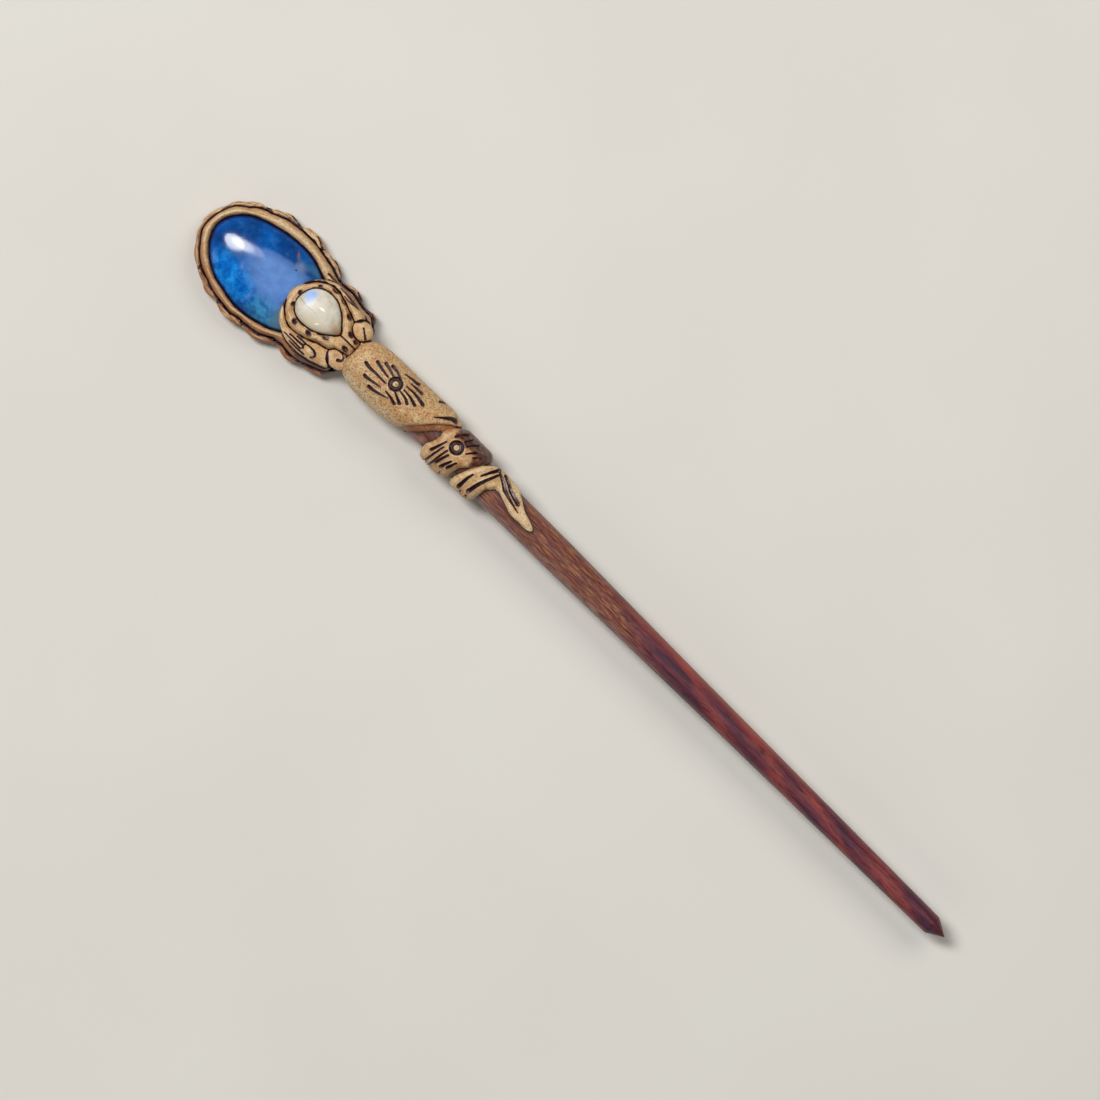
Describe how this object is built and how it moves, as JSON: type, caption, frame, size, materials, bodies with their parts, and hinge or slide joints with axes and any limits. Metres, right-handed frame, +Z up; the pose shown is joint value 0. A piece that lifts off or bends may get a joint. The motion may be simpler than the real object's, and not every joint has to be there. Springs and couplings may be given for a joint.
{
  "type": "hair stick",
  "caption": "Tapered wooden hair stick with a carved clay head holding an oval blue cabochon and a pear shaped moonstone, a clay grip and a tendril wound round the stick",
  "frame": {"origin": "under the middle of the whole hair stick, on the surface that it lies on", "axes": "+X from the head to the point along the stick's axis, +Z up out of the front of the stones, +Y to the upper side of the head as the picture shows it"},
  "size_m": [0.1901, 0.0227, 0.0099],
  "materials": {
    "clay": "baked clay, tan with dark brown rubbed into the grooves, satin",
    "blue_stone": "polished deep blue cabochon with a milky zone",
    "moonstone": "polished milky white cabochon with a blue flash",
    "wood": "oiled reddish brown hardwood, satin"
  },
  "bodies": {
    "root": {"stick": "wood", "back_plate": "clay", "ruffle": "clay", "bezel": "clay", "blue_stone": "blue_stone", "collar": "clay", "moonstone": "moonstone", "wing_upper": "clay", "wing_lower": "clay", "scroll_upper": "clay", "scroll_lower": "clay", "grip": "clay", "tendril": "clay"}
  },
  "joints": []
}
